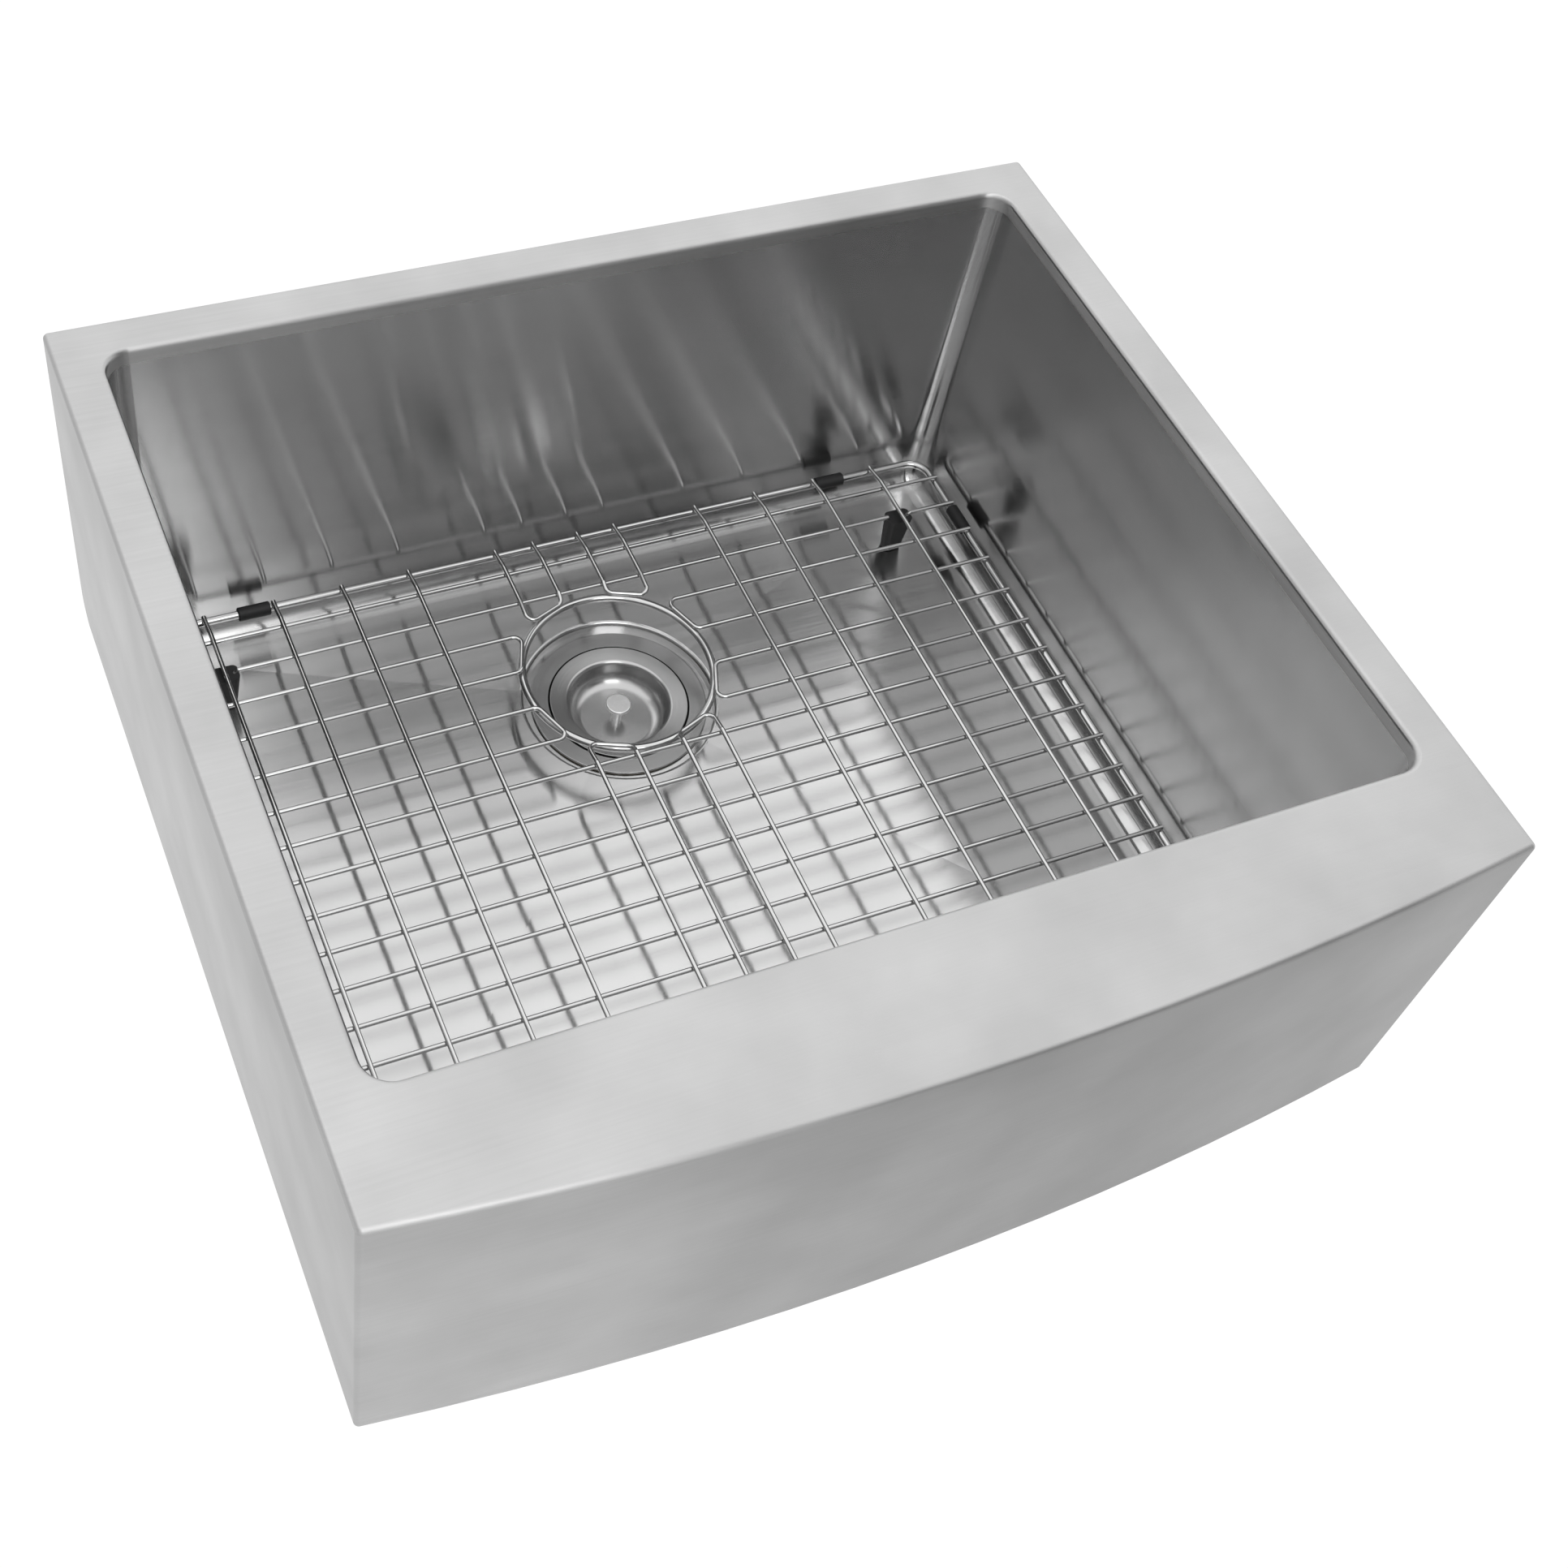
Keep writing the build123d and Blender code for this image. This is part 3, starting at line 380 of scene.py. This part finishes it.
@dataclass
class Drain(SubAssembly):
    """Strainer in the bowl's floor, with everything that clamps and seals it, and the tailpiece."""

    finishes: dict[str, Finish] = field(default_factory=lambda: {
        # stainless sheet, pressed and spun: rings of soft grey round the axis, with a painted shadow line
        # where the basket's edge lies
        "drain_steel": BrushedSteel(
            "spun_flange_steel", Grain.ROUND_AXIS, colour="AEAEAE", roughness=0.25, level_roughness=0.26,
            anisotropy=0.8, line_depth=0.03, line_pitch=1.2 * MM, gap_shadow_radius=45.2 * MM),
        # moulded rubber: matt black
        "stopper_rubber": PlainFinish("washer_rubber", "202021", 0.6),
        # soft putty, pressed flat: dull beige
        "putty": PlainFinish("plumbers_putty", "B9AE9A", 0.8),
        # pressed fibre sheet: dull brown
        "fibre": PlainFinish("fibre_washer", "8A6B4A", 0.85),
        # die-cast zinc: soft grey metal
        "zinc_nut": PlainFinish("cast_zinc_nut", "A9ABAD", 0.4, metallic=1.0),
        # turned brass: warm yellow metal
        "brass_socket": PlainFinish("turned_brass", "C8A55A", 0.35, metallic=1.0),
        # polished stainless tube: smooth and bright
        "tail_steel": PlainFinish("polished_tail_tube", "B4B4B4", 0.2, metallic=1.0)})
    pieces: tuple[str, ...] = (
        "strainer_body", "strainer_outlet", "drain_putty_ring", "drain_gasket", "friction_ring",
        "lock_nut", "post_socket", "tailpiece_washer", "coupling_nut", "tailpiece")

    def holds(self, node: str) -> bool:
        """Say whether a node belongs to this sub-assembly."""
        return node in self.pieces


@dataclass
class Basket(SubAssembly):
    """Lift-out basket with its knob, stopper and nut."""

    finishes: dict[str, Finish] = field(default_factory=lambda: {
        # stainless sheet, pressed and spun: the flange's soft rings, a little glossier
        "drain_steel": BrushedSteel(
            "spun_basket_steel", Grain.ROUND_AXIS, colour="B4B4B4", roughness=0.22,
            level_roughness=0.24, anisotropy=0.8, line_depth=0.03, line_pitch=1.2 * MM),
        # moulded rubber: matt black
        "stopper_rubber": PlainFinish("stopper_rubber", "202021", 0.6)})
    node_finishes: dict[str, Finish] = field(default_factory=lambda: {
        # turned and buffed bar: the brightest spot of the drain
        "basket_knob": PlainFinish("buffed_knob_steel", "E0E0E0", 0.35, metallic=1.0, grain_depth=0.0)})

    def holds(self, node: str) -> bool:
        """Say whether a node belongs to this sub-assembly."""
        return node.startswith("basket_") or node == "stopper_nut"


@dataclass
class BottomGrid(SubAssembly):
    """Welded wire grid with its rubber bumpers and feet."""

    finishes: dict[str, Finish] = field(default_factory=lambda: {
        # electropolished stainless wire: close to a mirror, so that it takes up all that lies round it
        "grid_steel": PlainFinish(
            "electropolished_wire", "C2C2C2", 0.08, metallic=1.0, grain_depth=0.0, mottle=0.02),
        # moulded rubber: matt black with a faint sheen
        "black_rubber": PlainFinish("moulded_black_rubber", "1C1C1D", 0.55)})
    stems: tuple[str, ...] = ("grid_", "drain_ring", "hairpin_", "bumper_", "foot_")

    def holds(self, node: str) -> bool:
        """Say whether a node belongs to this sub-assembly."""
        return node.startswith(self.stems)


@dataclass
class Studio:
    """Camera, floor and soft light."""

    place: Vector = field(default_factory=lambda: Vector((-0.4147, -0.8703, 0.8007)))   # of the camera
    azimuth: float = 32.05       # degrees from +Y towards +X
    elevation: float = -52.72    # degrees, negative looking down
    roll: float = 11.57          # degrees
    focal_px: float = 2583.2
    centre_px: tuple[float, float] = (822.5, 934.4)
    sensor_width: float = 36.0   # mm
    floor_side: float = 12.0
    floor_depth: float = 0.9     # a kitchen floor below the worktop
    floor_colour: str = "EDEDED"
    floor_glow: float = 0.92     # share that glows to camera and gloss; the rest is paint, and shaded
    floor_white: float = 1.04    # makes up for the shaded share, so that the floor reads as white
    middle_y: float = -0.25      # of the sink, round which the floor's tones turn
    dark_direction: tuple[float, float, float] = (0.45, -0.89, 0.0)   # the floor's unlit side
    floor_tones: tuple[tuple[float, float], ...] = (   # cosine to that side, and what gloss sees there
        (-1.0, 1.0), (0.2, 0.95), (0.72, 0.88), (0.82, 0.90), (0.97, 0.74), (1.0, 0.70))
    sky_full: float = 2.0        # strength that a share of 1 in walls stands for
    cove_heights: tuple[float, float] = (0.06, 0.2)   # sines of the elevations where white turns to walls
    sky_top: float = 1.4         # least strength overhead
    top_heights: tuple[float, float] = (0.745, 0.81)   # sines of the elevations between which it starts
    walls: tuple[tuple[float, float], ...] = (   # degrees from -Y towards +X, and share of sky_full
        (-180, 0.56), (-150, 0.60), (-136, 0.50), (-126, 0.95), (-117, 0.34), (-100, 0.20), (-70, 0.44),
        (-20, 0.60), (2, 0.66), (11, 0.70), (14, 0.34), (17, 0.04), (24, 0.03), (28, 0.0), (32, 0.02),
        (37, 0.0), (50, 0.01), (62, 0.30), (90, 0.54), (125, 0.76), (150, 0.76), (166, 0.60),
        (180, 0.56))
    lamp_strength: float = 3.0   # of the soft box ahead of the sink
    lamp_turn: tuple[float, float] = (-22, 15.6)    # degrees from -Y towards +X
    lamp_heights: tuple[float, float] = (0.60, 0.88)   # sines of its lower and upper elevation
    lamp_edge: tuple[float, float] = (4.0, 0.08)    # its soft edge, in degrees and in sine

    def set_camera(self) -> None:
        """Place the camera as the photograph's."""
        data = bpy.data.cameras.new("camera")
        data.sensor_width = self.sensor_width
        data.lens = self.focal_px / IMAGE_SIDE * data.sensor_width
        data.shift_x = 0.5 - self.centre_px[0] / IMAGE_SIDE
        data.shift_y = self.centre_px[1] / IMAGE_SIDE - 0.5
        camera = bpy.data.objects.new("camera", data)
        bpy.context.scene.collection.objects.link(camera)
        turn = Matrix.Rotation(math.radians(-self.azimuth), 4, "Z")
        pitch = Matrix.Rotation(math.radians(90 + self.elevation), 4, "X")
        tilt = Matrix.Rotation(math.radians(self.roll), 4, "Z")
        camera.matrix_world = Matrix.Translation(self.place) @ turn @ pitch @ tilt
        bpy.context.scene.camera = camera

    def tone_ramp(self, tree: bpy.types.NodeTree, value: bpy.types.NodeSocket,
                  tones: list[tuple[float, float]]) -> bpy.types.NodeSocket:
        """Turn a value into a grey by a list of stops.

        Args:
            tree: Node tree that the node goes into.
            value: Value from 0 to 1.
            tones: Place and grey of each stop.

        Returns:
            The grey, as an output socket.
        """
        ramp = add(tree, "ShaderNodeValToRGB", {0: value})
        stops = ramp.color_ramp.elements
        while len(stops) < len(tones):
            stops.new(0.5)
        for stop, (place, tone) in zip(stops, tones):
            stop.position = place
            stop.color = (tone, tone, tone, 1.0)
        return ramp.outputs["Color"]

    def set_floor(self) -> None:
        """Lay a pale floor that the camera sees as white, and gloss as white on the lit side."""
        bpy.ops.mesh.primitive_plane_add(size=self.floor_side, location=(0, 0, -self.floor_depth))
        floor = bpy.context.object
        floor.name = "studio_floor"
        made, tree = empty_material("painted_studio_floor")
        paint = add(tree, "ShaderNodeBsdfDiffuse", {"Color": linear(self.floor_colour)})
        path = add(tree, "ShaderNodeLightPath")
        mirrored = add(tree, "ShaderNodeMath", {
            0: path.outputs["Is Glossy Ray"],
            1: path.outputs["Is Transmission Ray"]}, operation="MAXIMUM")
        place = add(tree, "ShaderNodeTexCoord").outputs["Object"]
        about = add(tree, "ShaderNodeMapping", {"Vector": place, "Location": (0.0, -self.middle_y, 0.0)})
        unit = add(tree, "ShaderNodeVectorMath", {0: about.outputs[0]}, operation="NORMALIZE")
        facing = add(tree, "ShaderNodeVectorMath", {
            0: unit.outputs[0], 1: self.dark_direction}, operation="DOT_PRODUCT")
        turn = add(tree, "ShaderNodeMapRange", {"Value": facing.outputs["Value"], "From Min": -1.0})
        seen = self.tone_ramp(tree, turn.outputs[0], [
            (0.5 + 0.5 * cosine, tone) for cosine, tone in self.floor_tones])
        strength = add(tree, "ShaderNodeMix", {
            "Factor": path.outputs["Is Camera Ray"], 2: seen, 3: self.floor_white})
        glow = add(tree, "ShaderNodeEmission", {"Color": WHITE, "Strength": strength.outputs[0]})
        any_view = add(tree, "ShaderNodeMath", {
            0: path.outputs["Is Camera Ray"], 1: mirrored.outputs[0]}, operation="MAXIMUM")
        share = add(tree, "ShaderNodeMath", {
            0: any_view.outputs[0], 1: self.floor_glow}, operation="MULTIPLY")
        mix = add(tree, "ShaderNodeMixShader", {
            0: share.outputs[0], 1: paint.outputs[0], 2: glow.outputs[0]})
        add(tree, "ShaderNodeOutputMaterial", {"Surface": mix.outputs[0]})
        floor.data.materials.append(made)

    def set_light(self) -> None:
        """Light the sink by a sky with one soft lamp, white low down and dark ahead and to the right.

        The camera sees the sky as plain white.
        """
        world = bpy.data.worlds.new("soft_sky")
        bpy.context.scene.world = world
        world.use_nodes = True
        tree = world.node_tree
        tree.nodes.clear()
        direction = add(tree, "ShaderNodeTexCoord").outputs["Generated"]
        height = add(tree, "ShaderNodeSeparateXYZ", {0: direction})
        forwards = add(tree, "ShaderNodeMath", {0: height.outputs["Y"], 1: -1.0}, operation="MULTIPLY")
        azimuth = add(tree, "ShaderNodeMath", {
            0: height.outputs["X"], 1: forwards.outputs[0]}, operation="ARCTAN2")
        turn = add(tree, "ShaderNodeMapRange", {
            "Value": azimuth.outputs[0], "From Min": -math.pi, "From Max": math.pi})
        tones = self.tone_ramp(tree, turn.outputs[0], [
            (0.5 + degrees / 360, share) for degrees, share in self.walls])
        over_cove = add(tree, "ShaderNodeMapRange", {
            "Value": height.outputs["Z"], "From Min": self.cove_heights[0],
            "From Max": self.cove_heights[1]}, interpolation_type="SMOOTHSTEP")
        wall = add(tree, "ShaderNodeMath", {0: tones, 1: self.sky_full}, operation="MULTIPLY")
        side = add(tree, "ShaderNodeMix", {
            "Factor": over_cove.outputs[0], 2: 1.0, 3: wall.outputs[0]})
        left, right = self.lamp_turn
        low, high = self.lamp_heights
        soft_turn, soft_height = self.lamp_edge
        edges = [
            (azimuth.outputs[0], math.radians(left), math.radians(left + soft_turn)),
            (azimuth.outputs[0], math.radians(right), math.radians(right - soft_turn)),
            (height.outputs["Z"], low, low + soft_height),
            (height.outputs["Z"], high, high - soft_height)]
        lamp: float | bpy.types.NodeSocket = self.lamp_strength
        for value, outside, inside in edges:
            edge = add(tree, "ShaderNodeMapRange", {
                "Value": value, "From Min": outside, "From Max": inside}, interpolation_type="SMOOTHSTEP")
            lamp = add(tree, "ShaderNodeMath", {
                0: edge.outputs[0], 1: lamp}, operation="MULTIPLY").outputs[0]
        above = add(tree, "ShaderNodeMapRange", {
            "Value": height.outputs["Z"], "From Min": self.top_heights[0],
            "From Max": self.top_heights[1]}, interpolation_type="SMOOTHSTEP")
        brighter = add(tree, "ShaderNodeMath", {
            0: side.outputs[0], 1: self.sky_top}, operation="MAXIMUM")
        level = add(tree, "ShaderNodeMix", {
            "Factor": above.outputs[0], 2: side.outputs[0], 3: brighter.outputs[0]})
        lit = add(tree, "ShaderNodeMath", {0: level.outputs[0], 1: lamp})
        path = add(tree, "ShaderNodeLightPath")
        shown = add(tree, "ShaderNodeMix", {
            "Factor": path.outputs["Is Camera Ray"], 2: lit.outputs[0], 3: 1.0})
        sky = add(tree, "ShaderNodeBackground", {"Color": WHITE, "Strength": shown.outputs[0]})
        add(tree, "ShaderNodeOutputWorld", {"Surface": sky.outputs[0]})
        bpy.context.scene.view_settings.view_transform = "Standard"

    def build(self) -> None:
        """Set up all of the studio."""
        self.set_camera()
        self.set_floor()
        self.set_light()


def main() -> None:
    """Dress the loaded pieces and build the studio round them."""
    logging.basicConfig(level=logging.INFO, format="%(name)s: %(message)s")
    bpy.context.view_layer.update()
    studio = Studio()
    studio.build()
    for sub_assembly in (ApronShell(), Bowl(), Drain(), Basket(), BottomGrid()):
        sub_assembly.dress()


if __name__ == "__main__":
    main()
